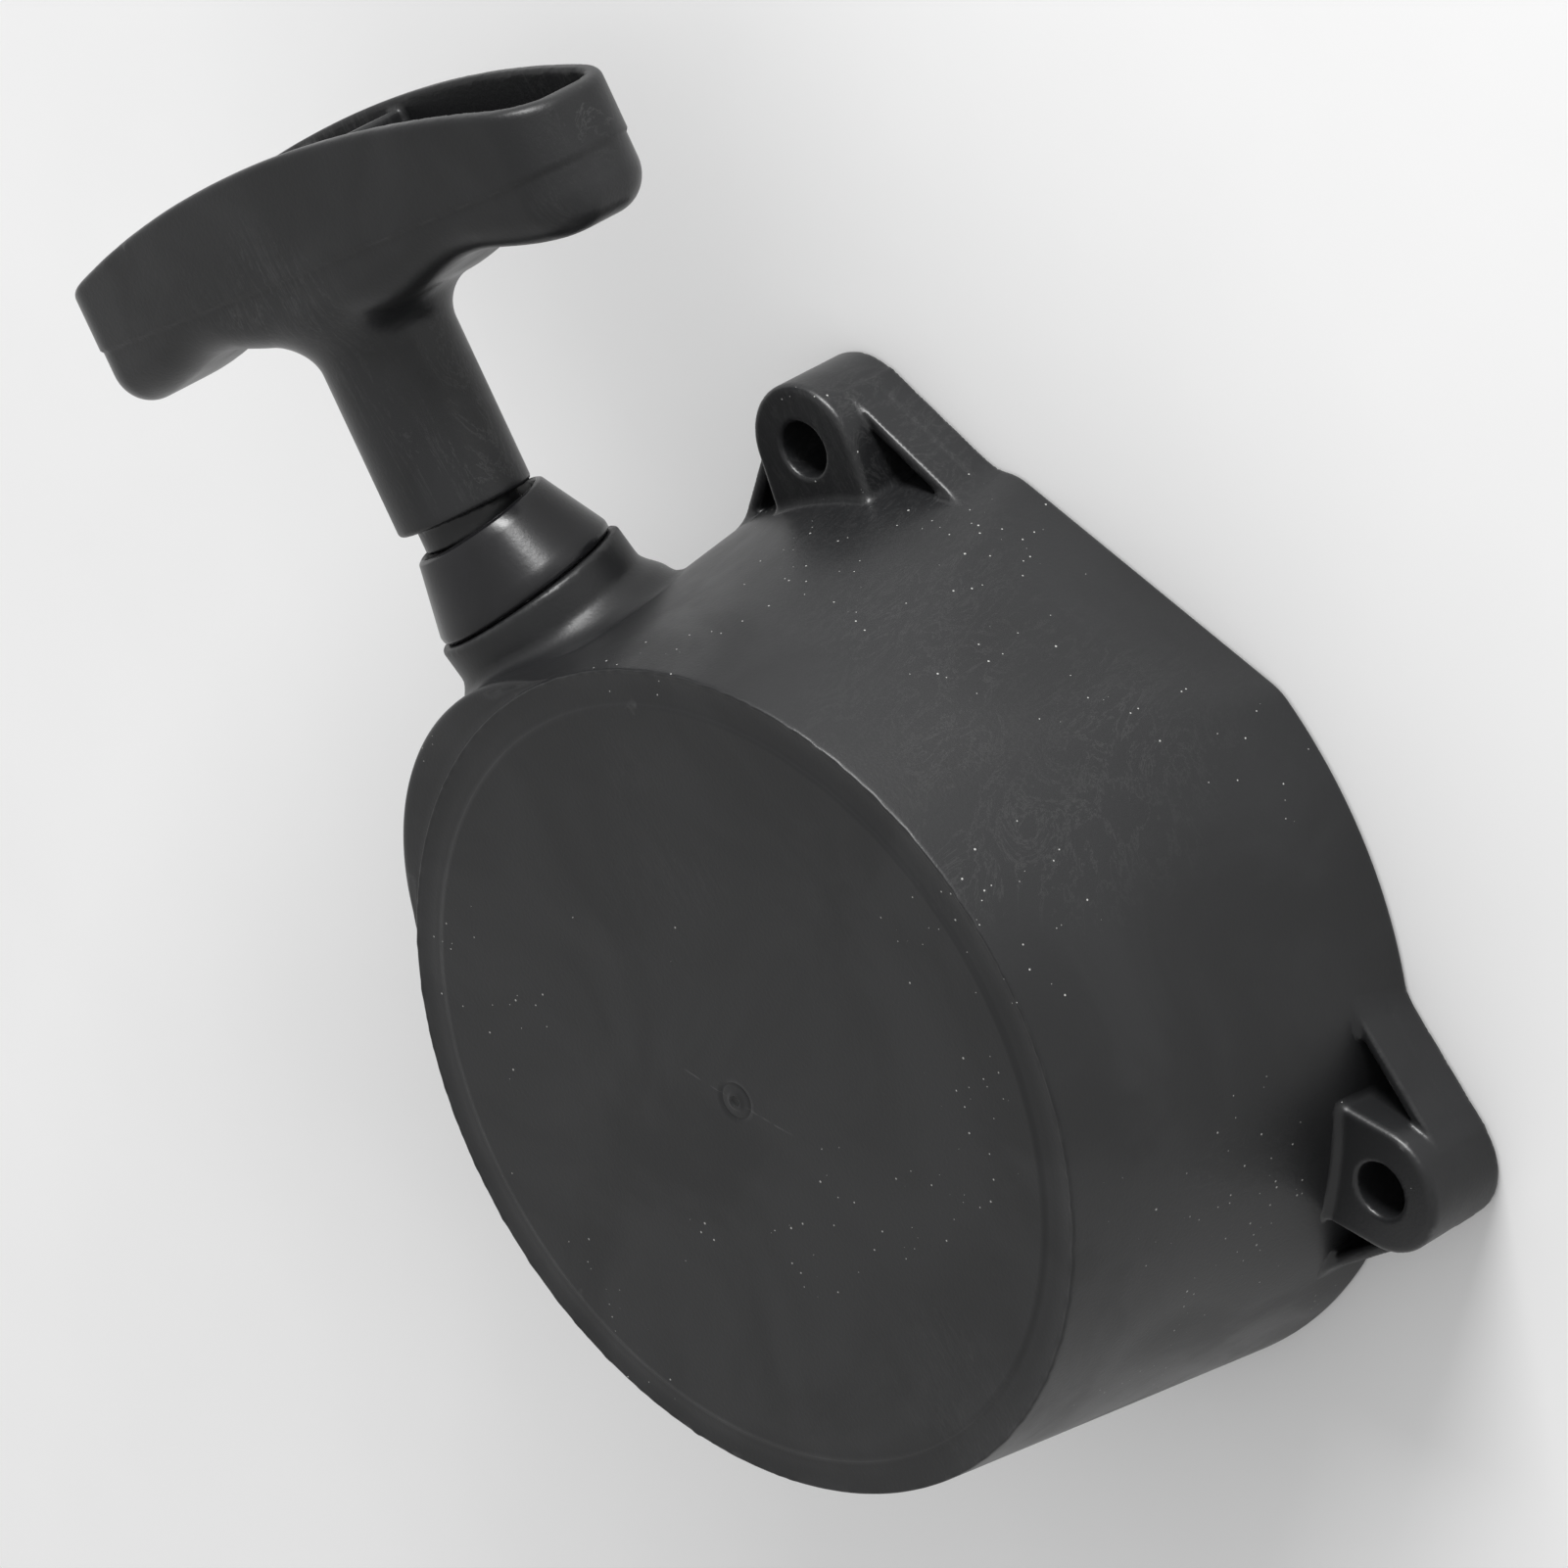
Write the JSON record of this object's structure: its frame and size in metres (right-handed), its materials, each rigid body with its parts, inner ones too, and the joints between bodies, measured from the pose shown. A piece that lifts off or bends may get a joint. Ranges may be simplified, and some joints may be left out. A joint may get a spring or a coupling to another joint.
{
  "type": "recoil starter",
  "caption": "Pull-cord starter for a small engine: cup housing with screw ears, rope reel with drive cup, return spring and T-handle on a rope.",
  "frame": {"origin": "centre of the screw circle on the mounting face of the housing", "axes": "+Z away from the engine along the reel axis, -Z out of the mounting face towards the engine; +X the way the rope is pulled"},
  "size_m": [0.1633, 0.1158, 0.0476],
  "materials": {
    "black_nylon": "glass-filled nylon, satin moulded",
    "black_nylon_gloss": "glossier moulded nylon",
    "black_nylon_handle": "matte moulded nylon",
    "white_nylon": "natural white nylon",
    "brass": "turned",
    "steel_sheet": "pressed steel sheet",
    "spring_steel": "blued spring strip",
    "dark_zinc": "dark zinc plated",
    "rope": "braided polyester rope"
  },
  "bodies": {
    "starter_body": {"housing": "black_nylon", "axle_insert": "brass", "rope_guide": "black_nylon_gloss", "spring_case": "steel_sheet", "recoil_spring": "spring_steel", "spring_cover": "steel_sheet", "reel_washer": "dark_zinc", "lock_washer": "dark_zinc", "reel_screw": "dark_zinc", "rope_run": "rope"},
    "reel_body": {"reel": "white_nylon", "bearing_sleeve": "brass", "rope_coil": "rope", "reel_knot": "rope"},
    "rope_end": {"rope_lead": "rope", "handle_knot": "rope", "handle_washer": "steel_sheet"},
    "handle_body": {"handle": "black_nylon_handle"}
  },
  "joints": [
    {"name": "handle_pull", "type": "slide", "parent": "starter_body", "child": "rope_end", "axis": [1, 0, 0], "range_m": [0, 0.7], "stiffness_N_per_m": 10, "springref_m": -0.5},
    {"name": "handle_twist", "type": "hinge", "parent": "rope_end", "child": "handle_body", "pos_m": [0.0654, 0.0135, 0.03315], "axis": [0.996, -0.0871, 0.0175], "continuous": true},
    {"name": "reel_spin", "type": "hinge", "parent": "starter_body", "child": "reel_body", "pos_m": [0, 0, 0.03], "axis": [0, 0, -1], "range_deg": [-5, 1500], "deforming": ["recoil_spring"]}
  ],
  "couplings": [
    {"joint": "reel_spin", "follows": "handle_pull", "rad_per_m": 36.9}
  ]
}
